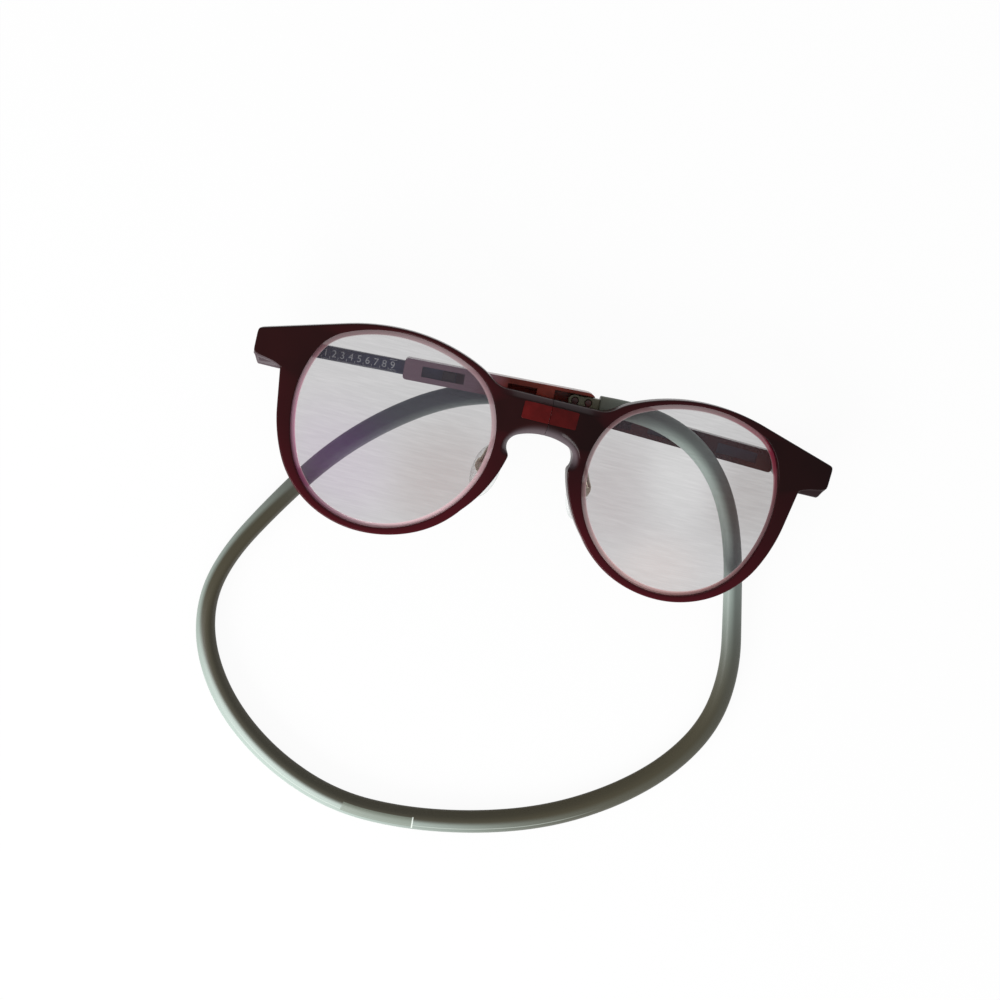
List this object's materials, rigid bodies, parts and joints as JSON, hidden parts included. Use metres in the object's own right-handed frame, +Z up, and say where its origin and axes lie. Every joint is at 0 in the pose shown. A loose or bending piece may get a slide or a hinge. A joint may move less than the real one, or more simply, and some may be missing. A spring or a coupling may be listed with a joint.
{
  "type": "magnetic bridge reading glasses",
  "caption": "Round reading glasses that part at a magnetic bridge, with hinged sliding temples joined by a flexible neckband, lying folded with the front up.",
  "frame": {"origin": "on the table, under the middle of the front's width and height", "axes": "+X along the front to the viewer's right, +Y to the top edge of the front, +Z up from the table, out of the lenses' front faces"},
  "size_m": [0.1351, 0.1178, 0.0172],
  "materials": {
    "rim": "gloss",
    "window": "gloss",
    "lens": "polished, clear",
    "magnet": "nickel plated",
    "hinge_steel": "satin",
    "butt": "gloss, smoky",
    "core": "satin",
    "clicker": "satin",
    "sleeve": "gloss, tinted",
    "pin": "gloss",
    "tongue": "satin",
    "band": "satin",
    "pad_metal": "satin",
    "pad_silicone": "clear, soft"
  },
  "bodies": {
    "band": {"neckband": "band", "left_temple_sleeve": "sleeve", "left_band_pins": "pin", "left_band_tongue": "tongue", "right_temple_sleeve": "sleeve", "right_band_pins": "pin", "right_band_tongue": "tongue"},
    "left_arm": {"left_temple_core": "core", "left_detent_clicker": "clicker", "left_temple_butt": "butt", "left_temple_hinge_leaf": "hinge_steel"},
    "left_front": {"left_front_half": "rim", "left_lens": "lens", "left_magnet": "magnet", "left_magnet_window": "window", "left_front_hinge_leaf": "hinge_steel", "left_hinge_screw": "hinge_steel", "left_pad_arm": "pad_metal", "left_pad_box": "pad_metal"},
    "left_pad": {"left_nose_pad": "pad_silicone"},
    "right_arm": {"right_temple_core": "core", "right_detent_clicker": "clicker", "right_temple_butt": "butt", "right_temple_hinge_leaf": "hinge_steel"},
    "right_front": {"right_front_half": "rim", "right_lens": "lens", "right_magnet": "magnet", "right_magnet_window": "window", "right_front_hinge_leaf": "hinge_steel", "right_hinge_screw": "hinge_steel", "right_pad_arm": "pad_metal", "right_pad_box": "pad_metal"},
    "right_pad": {"right_nose_pad": "pad_silicone"}
  },
  "joints": [
    {"name": "left_adjust", "type": "slide", "parent": "band", "child": "left_arm", "axis": [-0.9987, -0.0515, 0], "range_m": [0, 0.008]},
    {"name": "right_adjust", "type": "slide", "parent": "band", "child": "right_arm", "axis": [0.9996, -0.0288, 0], "range_m": [0, 0.028]},
    {"name": "left_fold", "type": "hinge", "parent": "left_arm", "child": "left_front", "pos_m": [-0.06443, 0.0127, 0.01035], "axis": [0, -1, 0], "range_deg": [0, 92.2]},
    {"name": "right_fold", "type": "hinge", "parent": "right_arm", "child": "right_front", "pos_m": [0.06379, 0.0127, 0.0054], "axis": [0, 1, 0], "range_deg": [0, 87.7]},
    {"name": "left_pad_tilt", "type": "hinge", "parent": "left_front", "child": "left_pad", "pos_m": [-0.01161, -0.00315, 0.00948], "axis": [0.1574, 0.9781, 0.1358], "range_deg": [-8, 8]},
    {"name": "right_pad_tilt", "type": "hinge", "parent": "right_front", "child": "right_pad", "pos_m": [0.01246, -0.00315, 0.00847], "axis": [-0.1465, 0.9781, 0.1476], "range_deg": [-8, 8]}
  ]
}
